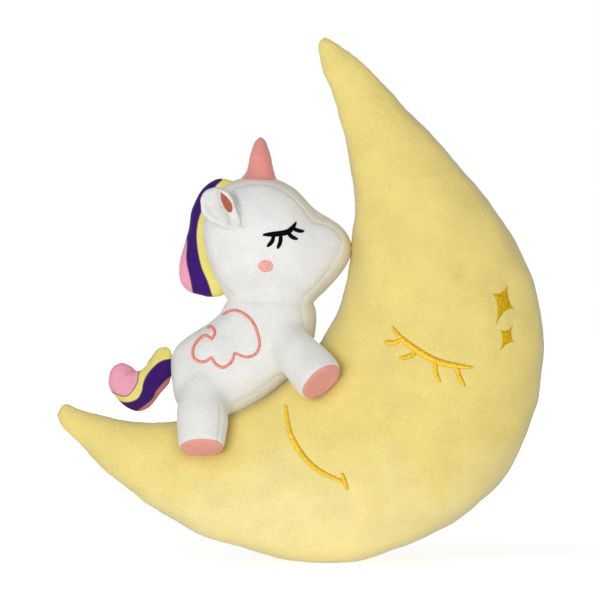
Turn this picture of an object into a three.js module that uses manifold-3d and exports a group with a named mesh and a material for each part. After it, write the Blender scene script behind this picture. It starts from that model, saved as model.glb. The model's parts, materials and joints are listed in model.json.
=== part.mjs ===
// A plush unicorn lying astride a crescent moon cushion that it is sewn to.
// Millimetres. X runs along the moon from its lower tip to its back, Z is up, and the seam of the
// moon and the middle of the unicorn lie in the plane Y = 0. Near pieces have negative Y, far ones
// positive Y. Shapes are measured from the middle of the flattened foot under the moon, and the
// last step moves the whole toy along X so that the origin is under the middle of its box.
import * as THREE from "three";
import { mergeVertices } from "three/addons/utils/BufferGeometryUtils.js";
import Module from "manifold-3d";

const wasm = await Module();
wasm.setup();

// Driving dimensions.
const CLOTH = 1.4; // thickness of the plush cloth
const GAP = 0.3; // between pieces that touch on the real toy
const ROOM = 1.6; // round the forms that clear the way for a piece that turns
const THREAD = 0.9; // height of the satin stitching
const STITCH = 3; // width of a satin stitched line
const MOON_FULLNESS = 0.56; // half thickness of the moon as a share of its half width
const MOON_LENS = 0.15; // 0 makes the moon's section an ellipse, more sharpens its seam
const GUSSET = 19; // half width of the gusset between the two sides of the unicorn
const TACK_RADIUS = 2.2; // of a bundle of stitches that holds the unicorn to the moon
const SOLE = 2.4; // thickness of a hoof's sole
const FAR_OUT = 300; // beyond every piece, for solids that only cut
const AROUND = 12; // corners round a leg, an ear or the horn

// Where the unicorn's moving pieces turn, and how far, in degrees.
const NECK = { at: [-52, 0, 197], axis: [0.83, 0, 0.56], range: [-8, 8] };
const HORN_ROOT = { at: [-58.5, 0, 288], axis: [0, 1, 0], range: [-15, 15] };
const TAIL_ROOT = { at: [-128, 0, 150], axis: [0, 0, 1], range: [-30, 30] };
const HIND_HIP = { at: [-100, 19, 130], axis: [1, 0, 0], range: [0, 25] };
const FRONT_HIP = { at: [-35, 22, 167], axis: [0.766, 0, 0.643], range: [0, 20] };
const EAR_ROOT = { at: [-76, 26, 269], axis: [-0.34, 0, 0.94], range: [-10, 20] };

const COLOURS = {
  moon: "#f2dd86",
  white: "#ececea",
  gusset: "#e6e1cf",
  pink: "#e08f88",
  mane: "#ecaabd",
  wing: "#f08f80",
  lash: "#1b1620",
  gold: "#e8bd2f",
  star: "#cc9c12",
  cheek: "#f7a094",
  filling: "#f7f6f2",
  thread: "#cbb98a",
};

const point = (x, z, y = 0) => new THREE.Vector3(x, y, z);
const vector = (array) => new THREE.Vector3(...array);

// A solid from a closed geometry, with its shared corners merged and its faces turned outwards.
function solidFrom(geometry) {
  const bare = new THREE.BufferGeometry();
  bare.setAttribute("position", geometry.getAttribute("position"));
  bare.setIndex(geometry.index);
  const merged = mergeVertices(bare, 1e-3);
  const kept = [];
  for (let i = 0; i < merged.index.count; i += 3) {
    const [a, b, c] = merged.index.array.slice(i, i + 3);
    if (a !== b && b !== c && c !== a) kept.push(a, b, c);
  }
  const made = (triVerts) =>
    new wasm.Manifold(
      new wasm.Mesh({
        numProp: 3,
        vertProperties: new Float32Array(merged.attributes.position.array),
        triVerts: new Uint32Array(triVerts),
      }),
    );
  const solid = made(kept);
  return solid.volume() > 0 ? solid : made(kept.reverse());
}

function geometryFrom(solid) {
  const mesh = solid.getMesh();
  const geometry = new THREE.BufferGeometry();
  geometry.setAttribute("position", new THREE.BufferAttribute(mesh.vertProperties, 3));
  geometry.setIndex(new THREE.BufferAttribute(mesh.triVerts, 1));
  return geometry;
}

// The biggest body of a solid, without the crumbs that a cut may leave.
function biggest(solid) {
  return solid.decompose().reduce((a, b) => (a.volume() > b.volume() ? a : b));
}

const joined = (solids) => solids.reduce((a, b) => a.add(b));
const cut = (solid, ...cutters) => biggest(cutters.reduce((a, b) => a.subtract(b), solid));

// A closed skin through rings of corners, drawn together to a pole at each end.
function loft(rings, startPole, endPole) {
  const around = rings[0].length;
  const corners = [startPole, ...rings.flat(), endPole];
  const last = corners.length - 1;
  const at = (ring, k) => 1 + ring * around + (k % around);
  const index = [];
  for (let k = 0; k < around; k++) {
    index.push(0, at(0, k + 1), at(0, k));
    for (let r = 0; r + 1 < rings.length; r++) {
      index.push(at(r, k), at(r, k + 1), at(r + 1, k));
      index.push(at(r + 1, k), at(r, k + 1), at(r + 1, k + 1));
    }
    index.push(at(rings.length - 1, k), at(rings.length - 1, k + 1), last);
  }
  const geometry = new THREE.BufferGeometry().setFromPoints(corners);
  geometry.setIndex(index);
  return solidFrom(geometry);
}

// A stuffed form between two curves in the plane Y = 0 that meet at both ends. Each row holds the
// X and Z of one curve, the X and Z of the other, and the half depth there; first and last rows
// are the poles. A positive inset gives the form inside the cloth, a negative one a form round it.
function pillow(rows, { steps = 10, around = 12, lens = 0, inset = 0 } = {}) {
  const upper = new THREE.CatmullRomCurve3(rows.map((row) => point(row[0], row[1])));
  const lower = new THREE.CatmullRomCurve3(rows.map((row) => point(row[2], row[3])));
  const depth = new THREE.CatmullRomCurve3(rows.map((row, i) => point(i, row[4])));
  const sections = [];
  for (let i = 1; i < steps; i++) {
    const along = 0.5 - 0.5 * Math.cos((Math.PI * i) / steps);
    const a = upper.getPoint(along);
    const b = lower.getPoint(along);
    const half = a.clone().sub(b).multiplyScalar(0.5);
    const centre = a.add(b).multiplyScalar(0.5);
    const reach = half.length() - inset;
    const deep = depth.getPoint(along).z - inset;
    sections.push({ centre, half: half.normalize(), reach, deep });
  }
  const least = 1.5 * Math.max(inset, 0);
  const open = sections.filter((s) => s.reach > least && s.deep > least);
  const from = sections.indexOf(open[0]);
  const to = sections.indexOf(open[open.length - 1]);
  const rings = sections.slice(from, to + 1).map(({ centre, half, reach, deep }) =>
    Array.from({ length: around }, (_, k) => {
      const turn = (2 * Math.PI * k) / around;
      const side = Math.sin(turn) * Math.abs(Math.sin(turn)) ** lens;
      return centre
        .clone()
        .addScaledVector(half, reach * Math.cos(turn))
        .add(new THREE.Vector3(0, deep * side, 0));
    }),
  );
  const ends = [rows[0], rows[rows.length - 1]].map((row) => point(row[0], row[1]));
  const pole = (end, near, next) => {
    if (inset < 0) return end.clone().add(end.clone().sub(next.centre).setLength(-inset));
    return near ? near.centre : end.clone().lerp(next.centre, inset > 0 ? 0.6 : 0);
  };
  return loft(
    rings,
    pole(ends[0], sections[from - 1], sections[from]),
    pole(ends[1], sections[to + 1], sections[to]),
  );
}

// A solid over an outline in the plane Y = 0, between two depths.
function prism(outline, fromY, toY, curveSegments = 8) {
  const depth = toY - fromY;
  const geometry = new THREE.ExtrudeGeometry(outline, {
    depth,
    curveSegments,
    bevelEnabled: false,
  });
  geometry.rotateX(Math.PI / 2);
  geometry.translate(0, toY, 0);
  return solidFrom(geometry);
}

// A round bar between two points.
function bar(from, to, radius) {
  const geometry = new THREE.CylinderGeometry(radius, radius, from.distanceTo(to), 10);
  const along = to.clone().sub(from).normalize();
  geometry.applyQuaternion(
    new THREE.Quaternion().setFromUnitVectors(new THREE.Vector3(0, 1, 0), along),
  );
  const middle = from.clone().lerp(to, 0.5);
  geometry.translate(middle.x, middle.y, middle.z);
  return solidFrom(geometry);
}

// A copy of a solid turned about a hinge.
function turned(solid, hinge, degrees) {
  const at = vector(hinge.at);
  const turn = new THREE.Matrix4().makeRotationAxis(
    vector(hinge.axis).normalize(),
    THREE.MathUtils.degToRad(degrees),
  );
  const geometry = geometryFrom(solid).translate(-at.x, -at.y, -at.z);
  return solidFrom(geometry.applyMatrix4(turn).translate(at.x, at.y, at.z));
}

// The room a solid sweeps as it turns about a hinge, from copies of it at the limits and between.
function swept(solid, hinge) {
  const [low, high] = hinge.range;
  return joined([low, (low + high) / 2, high].map((angle) => turned(solid, hinge, angle)));
}

// A ball of few faces.
function ball(at, radius) {
  const geometry = new THREE.SphereGeometry(radius, 10, 7);
  geometry.rotateX(Math.PI / 2);
  geometry.translate(at.x, at.y, at.z);
  return solidFrom(geometry);
}

// The same hinge on the near side (side -1) or the far side (side 1): both open away from Y = 0.
function onSide(hinge, side) {
  const [x, y, z] = hinge.at;
  return { ...hinge, at: [x, y * side, z], axis: hinge.axis.map((value) => value * side) };
}

function mirrored(solid) {
  return solidFrom(geometryFrom(solid).scale(1, -1, 1));
}

// Everything on one side of the middle plane, and everything below a height.
function rectangle(fromX, fromZ, toX, toZ) {
  const corners = [[fromX, fromZ], [toX, fromZ], [toX, toZ], [fromX, toZ]];
  return new THREE.Shape(corners.map(([x, z]) => new THREE.Vector2(x, z)));
}

const WHOLE = rectangle(-2 * FAR_OUT, -2 * FAR_OUT, 2 * FAR_OUT, 2 * FAR_OUT);
const NEAR_HALF = prism(WHOLE, -FAR_OUT, -GAP / 2);
const FAR_HALF = prism(WHOLE, GAP / 2, FAR_OUT);

// A wedge of the plane Y = 0 between two bearings from a point, grown by a margin, as a slab.
function wedge([x, z], fromDegrees, toDegrees, halfWidth, margin = 0) {
  const from = THREE.MathUtils.degToRad(fromDegrees);
  const to = THREE.MathUtils.degToRad(toDegrees);
  const back = margin / Math.sin((to - from) / 2);
  const middle = (from + to) / 2;
  const apex = [x - back * Math.cos(middle), z - back * Math.sin(middle)];
  const outline = new THREE.Shape();
  outline.moveTo(...apex);
  outline.absarc(...apex, FAR_OUT, from, to);
  outline.lineTo(...apex);
  return prism(outline, -halfWidth - margin, halfWidth + margin);
}

// The outline of a satin stitched line through points of the plane Y = 0, narrowed at its ends.
function stroke(points, width = STITCH, taper = 0.5) {
  const curve = new THREE.CatmullRomCurve3(points.map(([x, z]) => point(x, z)));
  const steps = 2 * (points.length - 1);
  const sides = [[], []];
  for (let i = 0; i <= steps; i++) {
    const along = i / steps;
    const at = curve.getPoint(along);
    const way = curve.getTangent(along);
    const half = (width / 2) * (1 - taper * Math.abs(2 * along - 1) ** 3);
    sides[0].push(new THREE.Vector2(at.x - way.z * half, at.z + way.x * half));
    sides[1].unshift(new THREE.Vector2(at.x + way.z * half, at.z - way.x * half));
  }
  return new THREE.Shape(sides.flat());
}

// Stitching raised on one side of a form: the outlines pressed onto the form's own surface.
function stitched(form, outlines, side) {
  const far = FAR_OUT * side;
  const columns = outlines.map((outline) => prism(outline, Math.min(0, far), Math.max(0, far)));
  const raised = form(-GAP - THREAD).subtract(form(-GAP));
  return biggest(joined(columns).intersect(raised));
}

// ---- The moon ----

// Inner rim and outer rim of the crescent, from the lower tip to the upper tip.
const MOON_ROWS = [
  [-211, 114, -211, 114],
  [-196, 118, -201, 97],
  [-162, 108, -168, 61],
  [-120, 110, -128, 35],
  [-79, 117, -88, 14],
  [-45, 134, -40, -3],
  [-19, 158, 26, -2.5],
  [-6, 178, 86, 27],
  [5, 199, 131, 73],
  [11.5, 222, 157, 128],
  [13.5, 248, 156, 180],
  [13.5, 270, 144, 231],
  [12.5, 291, 118, 274],
  [8, 318, 84, 316],
  [1, 346, 51, 351],
  [-6, 366, 27, 374],
  [-13, 388, 7, 391.5],
  [-9, 400, -9, 400],
].map((row) => [...row, 0]);

for (const row of MOON_ROWS) {
  row[4] = (MOON_FULLNESS / 2) * Math.hypot(row[0] - row[2], row[1] - row[3]);
}

const moonForm = (inset = 0) =>
  pillow(MOON_ROWS, { steps: 26, around: 12, lens: MOON_LENS, inset });

// Everything under the foot's flat face, which lies inset above the floor.
const underFoot = (inset) =>
  prism(rectangle(-FAR_OUT, -FAR_OUT, FAR_OUT, inset), -FAR_OUT, FAR_OUT);

const moonInside = (inset) => moonForm(inset).subtract(underFoot(inset));

function moonPanel(half, dents) {
  return cut(moonInside(0).subtract(moonInside(CLOTH)).intersect(half), ...dents);
}

const moonEyelid = () => [
  stroke([[43, 180], [48, 172.5], [61, 162.5], [77, 153.5], [93, 150], [103.5, 149]], 3.6),
  stroke([[48.5, 172.5], [37, 168.5]], 2.6, 0.6),
  stroke([[61.5, 162.5], [48, 156]], 2.6, 0.6),
  stroke([[76, 154], [79, 137.5]], 2.6, 0.6),
  stroke([[92.5, 150.5], [97.5, 134.5]], 2.6, 0.6),
];

const moonSmile = () => [
  stroke([[-37.5, 120], [-34, 100], [-25, 83.5], [-13.5, 72], [6.5, 62.5]], 3, 0.3),
  stroke([[5, 69.5], [9, 57]], 2.4, 0.4),
];

// A four-pointed star from its tips, its sides drawn in towards its centre.
function star(centre, tips) {
  const outline = new THREE.Shape();
  const draw = 0.16;
  const waist = (a, b) => a.map((value, i) => centre[i] + draw * (value + b[i] - 2 * centre[i]));
  outline.moveTo(...tips[0]);
  tips.forEach((tip, i) => {
    const next = tips[(i + 1) % tips.length];
    outline.quadraticCurveTo(...waist(tip, next), ...next);
  });
  return outline;
}

const largeStar = () => star([127.5, 198], [[131, 210], [120.5, 204], [122.5, 182], [135, 194]]);
const smallStar = () => star([130.5, 172], [[134.5, 180], [127, 177], [126, 162.5], [135.5, 168]]);

// ---- The unicorn's body ----

const TORSO_ROWS = [
  [-125.5, 139, -125.5, 139, 0],
  [-124.5, 157, -118, 118, 20],
  [-117, 169, -94, 105.5, 27],
  [-102.5, 178, -68, 115.5, 29],
  [-90.5, 187, -45, 131, 29],
  [-83.5, 197, -22, 151, 28],
  [-81, 206, -12, 176, 27],
  [-74, 215, -17, 200, 22],
  [-45, 221, -45, 221, 0],
];

const HEAD_ROWS = [
  [-100.5, 243, -100.5, 243, 0],
  [-99, 264, -96.5, 229, 20],
  [-90.5, 282, -89.5, 212, 29],
  [-72, 291, -78, 200, 34],
  [-51, 292, -55.5, 195.5, 36],
  [-31, 283.5, -32.5, 195.5, 34],
  [-15, 268, -16, 200, 28],
  [1, 257.5, -1.5, 213.5, 20],
  [8.5, 248, 7.5, 227, 12],
  [10.5, 238, 10.5, 238, 0],
];

const torsoForm = (inset = 0) => pillow(TORSO_ROWS, { inset });
const headForm = (inset = 0) => pillow(HEAD_ROWS, { inset });

// The head below the height of its chin, enlarged.
function headRoom() {
  const chin = 225;
  const below = prism(rectangle(-FAR_OUT, -FAR_OUT, FAR_OUT, chin), -FAR_OUT, FAR_OUT);
  return headForm(-ROOM).intersect(below);
}

// The two gussets, as wedges of the middle plane: forehead to throat, and throat to hind legs.
const headGussetSlab = (margin) => wedge([-45, 240], -64, 91, GUSSET, margin);
const bellyGussetSlab = (margin) => wedge([-78, 160], -110, 35, GUSSET, margin);

// The skin and filling of a stuffed form, its skin in two sides with a gusset let in between them.
function stuffed(form, gussetSlab, cutters) {
  const skin = form(0).subtract(form(CLOTH));
  const side = (half) => cut(skin.intersect(half), gussetSlab(GAP), ...cutters);
  return {
    near: side(NEAR_HALF),
    far: side(FAR_HALF),
    gusset: cut(skin.intersect(gussetSlab(0)), ...cutters),
    filling: cut(form(CLOTH + GAP), ...cutters),
  };
}

const wingOutline = () => [
  stroke(
    [[-85, 189], [-78, 192], [-72, 191], [-63, 184], [-57, 167], [-60, 159.5], [-67, 156.5],
      [-76.5, 160]],
    STITCH, 0.2,
  ),
  stroke([[-76, 160.5], [-78, 153.5], [-84.5, 149], [-90, 151], [-94, 156.5]], STITCH, 0.2),
  stroke(
    [[-93, 156.5], [-100, 153], [-106.5, 155.5], [-108, 160.5], [-105, 167.5], [-98, 173],
      [-92.5, 169.5]],
    STITCH, 0.2,
  ),
  stroke([[-93.5, 169.5], [-91, 175.5], [-94, 179.5], [-97, 178.5]], STITCH, 0.4),
];

// ---- Legs ----

const LEGS = {
  hind: {
    hip: HIND_HIP,
    sole: [-99.5, 36.5, 88.5],
    facing: [0, 0.4, -0.92],
    radii: [15, 18.5, 19.4, 18.6, 17.4],
  },
  front: {
    hip: FRONT_HIP,
    sole: [-10.5, 50, 138.5],
    facing: [0.562, 0.485, -0.67],
    radii: [15.5, 17.5, 18.6, 18.8, 18.2],
  },
};

// A leg: a ball at the hip drawn out to a sole that faces its own way. Overrun carries the form
// on past the sole.
function legForm({ hip, sole, facing, radii }, side, inset = 0, overrun = 0) {
  const mirror = new THREE.Vector3(1, side, 1);
  const from = vector(hip.at).multiply(mirror);
  const to = vector(sole).multiply(mirror);
  const soleNormal = vector(facing).multiply(mirror).normalize();
  const axis = to.clone().sub(from).normalize();
  const ring = (centre, normal, radius) => {
    const across = new THREE.Vector3().crossVectors(normal, new THREE.Vector3(0, 1, 0));
    across.normalize();
    const over = new THREE.Vector3().crossVectors(normal, across);
    return Array.from({ length: AROUND }, (_, k) => {
      const turn = (2 * Math.PI * k) / AROUND;
      return centre
        .clone()
        .addScaledVector(across, radius * Math.cos(turn))
        .addScaledVector(over, radius * Math.sin(turn));
    });
  };
  const knob = radii[0] - inset;
  const rings = [];
  for (const degrees of [30, 60]) {
    const bearing = THREE.MathUtils.degToRad(degrees);
    const centre = from.clone().addScaledVector(axis, -knob * Math.cos(bearing));
    rings.push(ring(centre, axis, knob * Math.sin(bearing)));
  }
  const girth = new THREE.CatmullRomCurve3(radii.map((r, i) => point(i, r)));
  const steps = 4;
  for (let i = 0; i <= steps; i++) {
    const along = i / steps;
    const normal = axis.clone().lerp(soleNormal, along ** 2).normalize();
    rings.push(ring(from.clone().lerp(to, along), normal, girth.getPoint(along).z - inset));
  }
  const end = to.clone().addScaledVector(soleNormal, overrun);
  if (overrun !== 0) rings.push(ring(end, soleNormal, radii[radii.length - 1] - inset));
  return loft(rings, from.clone().addScaledVector(axis, -knob), end);
}

// The half space beyond a leg's sole, starting some way before it.
function pastSole({ sole, facing }, side, before) {
  const mirror = new THREE.Vector3(1, side, 1);
  const normal = vector(facing).multiply(mirror).normalize();
  const start = vector(sole).multiply(mirror).addScaledVector(normal, -before);
  const reach = 40;
  return bar(start, start.clone().addScaledVector(normal, reach), 1.5 * reach);
}

function leg(shape, side) {
  const inner = (extra) => legForm(shape, side, CLOTH + extra, 1);
  return {
    skin: cut(legForm(shape, side), legForm(shape, side, CLOTH, 3)),
    pad: cut(inner(GAP).intersect(pastSole(shape, side, SOLE)), pastSole(shape, side, 0)),
    filling: cut(inner(GAP), pastSole(shape, side, SOLE + GAP)),
  };
}

// The room that the upper end of a leg needs as it turns: a ball at the hip and coarse shanks.
function legRoom({ hip, sole, radii }, side) {
  const mirror = new THREE.Vector3(1, side, 1);
  const from = vector(hip.at).multiply(mirror);
  const to = vector(sole).multiply(mirror);
  const shank = bar(from, to, radii[2] + ROOM);
  return ball(from, radii[0] + ROOM).add(swept(shank, onSide(hip, side)));
}

// ---- Horn, ears, mane and tail ----

// A round form up an axis, from its rows of radius and height.
function turnedForm(rows, at) {
  const profile = new THREE.SplineCurve(rows.map(([r, h]) => new THREE.Vector2(r, h)));
  const corners = profile.getPoints(rows.length + 1);
  corners.forEach((corner) => (corner.x = Math.max(corner.x, 0)));
  corners[0].x = 0;
  corners[corners.length - 1].x = 0;
  const geometry = new THREE.LatheGeometry(corners, AROUND);
  geometry.rotateX(Math.PI / 2);
  geometry.translate(...at);
  return solidFrom(geometry);
}

function hornForm(inset = 0) {
  const rows = [[0, -11], [8, -8], [11.2, -1], [11.6, 5], [10.2, 12], [7.6, 21], [4.6, 30], [0, 35]];
  const shrunk = rows.map(([r, h], i) => {
    const end = i === 0 ? 1 : i === rows.length - 1 ? -1 : 0;
    return [Math.max(r - inset, 0), h + end * inset];
  });
  return turnedForm(shrunk, HORN_ROOT.at);
}

// The horn is open at its foot, where its filling meets the head's.
function horn() {
  const at = vector(HORN_ROOT.at);
  const widest = 12;
  const mouthRadius = 8;
  const mouth = bar(at.clone().setZ(at.z - 20), at.clone().setZ(at.z - 6), mouthRadius);
  return {
    skin: cut(hornForm(0), hornForm(CLOTH), mouth),
    filling: hornForm(CLOTH + GAP),
    room: ball(at, widest + ROOM),
  };
}

// An ear's length, the part of it inside the head, and its half widths at shares of the length.
const EAR = {
  length: 29,
  buried: 4,
  halfThickness: 3,
  cupping: 4,
  widths: [[0.02, 13.5], [0.2, 15.5], [0.45, 16], [0.7, 13.8], [0.88, 9.5]],
};

// The leaf of an ear, cupped forwards, standing out from the side of the head.
function earForm(side, inset = 0) {
  const root = vector(EAR_ROOT.at);
  const along = new THREE.Vector3(-0.86, 0.5, 0.08).normalize();
  const across = vector(EAR_ROOT.axis).normalize();
  const out = new THREE.Vector3().crossVectors(along, across).normalize();
  if (out.y < 0) out.negate();
  const { length, buried, halfThickness, cupping, widths } = EAR;
  const rings = widths.map(([share, half]) => {
    const centre = root.clone().addScaledVector(along, length * share - buried);
    return Array.from({ length: AROUND }, (_, k) => {
      const turn = (2 * Math.PI * k) / AROUND;
      const wide = (half - inset) * Math.cos(turn);
      const cup = cupping * (wide / half) ** 2;
      return centre
        .clone()
        .addScaledVector(across, wide)
        .addScaledVector(out, (halfThickness - inset) * Math.sin(turn) + cup);
    });
  });
  const start = root.clone().addScaledVector(along, -buried - 0.5 + inset);
  const end = root.clone().addScaledVector(along, length - buried - inset);
  const made = loft(rings, start, end);
  return side < 0 ? mirrored(made) : made;
}

// The coloured leaf sewn into an ear, on its outward face.
function earLining(side) {
  const leaf = new THREE.Shape();
  leaf.moveTo(-88, 284);
  leaf.quadraticCurveTo(-76, 276, -79, 266);
  leaf.quadraticCurveTo(-88, 268, -88, 284);
  return stitched((inset) => earForm(side, inset), [leaf], side);
}

const MANE_ROWS = [
  [-74, 291, -74, 291, 0],
  [-92, 293, -80, 280, 6],
  [-103, 284, -88, 272, 9],
  [-109, 269, -93, 260, 10],
  [-111.5, 253, -95, 246, 10],
  [-116, 238, -92, 234, 10],
  [-119, 224, -87, 221, 10],
  [-117, 212, -83, 211, 9],
  [-108, 205, -84, 203.5, 7],
  [-94, 202, -94, 202, 0],
];

const TAIL_ROWS = [
  [-123, 150.5, -123, 150.5, 0],
  [-126, 164, -126, 136, 6.5],
  [-134.5, 163.5, -133, 128.5, 9],
  [-142, 154.5, -141, 118, 10.5],
  [-150, 150, -150, 115, 11],
  [-161.5, 152, -160.5, 119.5, 10],
  [-170, 147, -169, 129, 7],
  [-173, 137.5, -173, 137.5, 0],
];

const maneForm = (inset = 0) => pillow(MANE_ROWS, { around: 10, inset });
const tailForm = (inset = 0) => pillow(TAIL_ROWS, { around: 10, inset });
const tailRoom = () => tailForm(-ROOM / 2);

// A form with a skin of two sides that meet in one seam round its edge.
function twoSided(form, ...cutters) {
  const skin = form(0).subtract(form(CLOTH));
  return {
    near: cut(skin.intersect(NEAR_HALF), ...cutters),
    far: cut(skin.intersect(FAR_HALF), ...cutters),
    filling: cut(form(CLOTH + GAP), ...cutters),
  };
}

// ---- Assembly ----

const toy = new THREE.Group();

function add(name, solid, colour, roughness = 0.92) {
  const material = new THREE.MeshStandardMaterial({
    color: COLOURS[colour],
    roughness,
    metalness: 0,
  });
  const mesh = new THREE.Mesh(geometryFrom(solid), material);
  mesh.name = name;
  toy.add(mesh);
}

const SIDES = { near: -1, far: 1 };

const legs = {};
for (const [side, sign] of Object.entries(SIDES)) {
  for (const [place, shape] of Object.entries(LEGS)) legs[side + "_" + place] = leg(shape, sign);
}

function addLegs() {
  for (const [name, { skin, pad, filling }] of Object.entries(legs)) {
    add(name + "_leg_skin", skin, "white");
    add(name + "_hoof_sole", pad, "pink");
    add(name + "_leg_filling", filling, "filling");
  }
}

const legRooms = Object.values(SIDES).flatMap((side) =>
  Object.values(LEGS).map((shape) => legRoom(shape, side)),
);

const muzzleTack = (margin) =>
  bar(point(11.6, 238), point(18 + margin, 238), TACK_RADIUS + margin);
const bellyTack = (margin) =>
  bar(point(-47 + margin, 121 - margin), point(-56 - margin, 135 + margin), TACK_RADIUS + margin);

function addTacks() {
  add("muzzle_tack", muzzleTack(0), "thread");
  add("belly_tack", bellyTack(0), "thread");
}

function addMoon() {
  const dents = [torsoForm(-GAP)];
  for (const side of Object.values(SIDES)) {
    for (const shape of Object.values(LEGS)) dents.push(legForm(shape, side, -GAP, GAP));
  }
  dents.push(muzzleTack(GAP), bellyTack(GAP));
  add("moon_front_panel", moonPanel(NEAR_HALF, dents), "moon");
  add("moon_back_panel", moonPanel(FAR_HALF, dents), "moon");
  add("moon_filling", cut(moonInside(CLOTH + GAP), ...dents), "filling");
  const threads = {
    moon_eyelid_stitching: [moonEyelid(), "gold"],
    moon_smile_stitching: [moonSmile(), "gold"],
    moon_large_star: [[largeStar()], "star"],
    moon_small_star: [[smallStar()], "star"],
  };
  for (const [name, [outlines, colour]] of Object.entries(threads)) {
    add(name, stitched(moonForm, outlines, SIDES.near), colour, 0.5);
  }
}

function addBody() {
  const cutters = [swept(headRoom(), NECK), ...legRooms, swept(tailRoom(), TAIL_ROOT)];
  cutters.push(bellyTack(GAP));
  const { near, far, gusset, filling } = stuffed(torsoForm, bellyGussetSlab, cutters);
  add("torso_near_panel", near, "white");
  add("torso_far_panel", far, "white");
  add("belly_gusset", gusset, "gusset");
  add("torso_filling", filling, "filling");
  for (const [side, sign] of Object.entries(SIDES)) {
    add(side + "_wing_stitching", stitched(torsoForm, wingOutline(), sign), "wing", 0.5);
  }
}

const eyelash = () => [
  stroke([[-54.5, 249], [-48, 249.5], [-41, 250], [-35.5, 251.5], [-32, 254.5], [-29.5, 258.5]]),
  stroke([[-47, 249], [-51.5, 240]], 2.4),
  stroke([[-41, 250], [-43.5, 238.5]], 2.4),
  stroke([[-36, 251], [-29, 246]], 2.2),
  stroke([[-32, 254], [-23.5, 251.5]], 2.2),
];

function cheek() {
  const centre = [-52.5, 225.5];
  const radii = [6.1, 4.9];
  return [new THREE.Shape().absellipse(...centre, ...radii, 0, 2 * Math.PI)];
}

function addHead() {
  const hornParts = horn();
  const earRooms = Object.values(SIDES).map((sign) =>
    swept(earForm(sign, -1), onSide(EAR_ROOT, sign)),
  );
  const cutters = [hornParts.room, ...earRooms];
  const { near, far, gusset, filling } = stuffed(headForm, headGussetSlab, cutters);
  add("head_near_panel", near, "white");
  add("head_far_panel", far, "white");
  add("head_gusset", gusset, "gusset");
  add("head_filling", filling, "filling");
  add("horn_skin", hornParts.skin, "pink");
  add("horn_filling", hornParts.filling, "filling");
  for (const [side, sign] of Object.entries(SIDES)) {
    add(side + "_eyelash_stitching", stitched(headForm, eyelash(), sign), "lash", 0.5);
    add(side + "_cheek_stitching", stitched(headForm, cheek(), sign), "cheek", 0.5);
    add(side + "_ear", earForm(sign), "white");
    add(side + "_ear_lining", earLining(sign), "pink");
  }
  const mane = twoSided(maneForm, headForm(-GAP), ...earRooms);
  for (const [piece, solid] of Object.entries(mane)) {
    add("mane_" + piece + (piece === "filling" ? "" : "_panel"), solid, "mane");
  }
}

function addTail() {
  for (const [piece, solid] of Object.entries(twoSided(tailForm))) {
    add("tail_" + piece + (piece === "filling" ? "" : "_panel"), solid, "mane");
  }
}

addMoon();
addTacks();
addBody();
addLegs();
addHead();
addTail();

const box = new THREE.Box3().setFromObject(toy);
toy.position.x = -(box.min.x + box.max.x) / 2;
const group = new THREE.Group();
group.add(toy);

export default group;
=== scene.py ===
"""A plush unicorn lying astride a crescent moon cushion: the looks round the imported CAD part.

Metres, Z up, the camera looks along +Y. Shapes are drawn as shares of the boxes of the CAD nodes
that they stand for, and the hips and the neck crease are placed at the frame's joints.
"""

import json
import math

import bpy
import numpy as np
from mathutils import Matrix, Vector
from mathutils.bvhtree import BVHTree


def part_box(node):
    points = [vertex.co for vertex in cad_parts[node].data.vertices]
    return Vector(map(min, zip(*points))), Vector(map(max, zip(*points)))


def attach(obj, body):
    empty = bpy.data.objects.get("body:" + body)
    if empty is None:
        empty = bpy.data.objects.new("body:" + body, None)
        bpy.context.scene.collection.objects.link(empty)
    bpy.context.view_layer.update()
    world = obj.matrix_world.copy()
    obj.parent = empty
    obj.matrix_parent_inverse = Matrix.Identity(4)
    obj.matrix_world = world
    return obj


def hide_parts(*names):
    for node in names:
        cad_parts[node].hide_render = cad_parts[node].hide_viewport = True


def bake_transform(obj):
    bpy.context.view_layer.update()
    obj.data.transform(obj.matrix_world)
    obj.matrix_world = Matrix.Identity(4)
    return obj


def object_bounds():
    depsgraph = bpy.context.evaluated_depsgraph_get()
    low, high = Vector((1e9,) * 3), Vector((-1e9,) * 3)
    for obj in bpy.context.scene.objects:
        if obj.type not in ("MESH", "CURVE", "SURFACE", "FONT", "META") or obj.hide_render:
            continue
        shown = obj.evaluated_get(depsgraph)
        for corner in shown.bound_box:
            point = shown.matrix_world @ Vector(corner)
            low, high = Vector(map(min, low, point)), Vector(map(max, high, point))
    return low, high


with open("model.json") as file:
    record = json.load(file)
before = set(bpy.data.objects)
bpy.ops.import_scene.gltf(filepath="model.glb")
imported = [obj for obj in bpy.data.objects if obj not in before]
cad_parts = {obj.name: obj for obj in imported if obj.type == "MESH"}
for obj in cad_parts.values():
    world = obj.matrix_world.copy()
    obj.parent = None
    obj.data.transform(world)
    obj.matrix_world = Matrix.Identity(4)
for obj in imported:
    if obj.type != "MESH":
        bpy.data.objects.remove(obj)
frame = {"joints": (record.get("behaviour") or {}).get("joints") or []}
CAD_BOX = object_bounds()
JOINTS = {joint["name"]: joint for joint in frame["joints"]}

MM = 0.001
NEAR = -1
FAR = 1
SIDES = {"near": NEAR, "far": FAR}
TORSO = "moon_and_torso"

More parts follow.
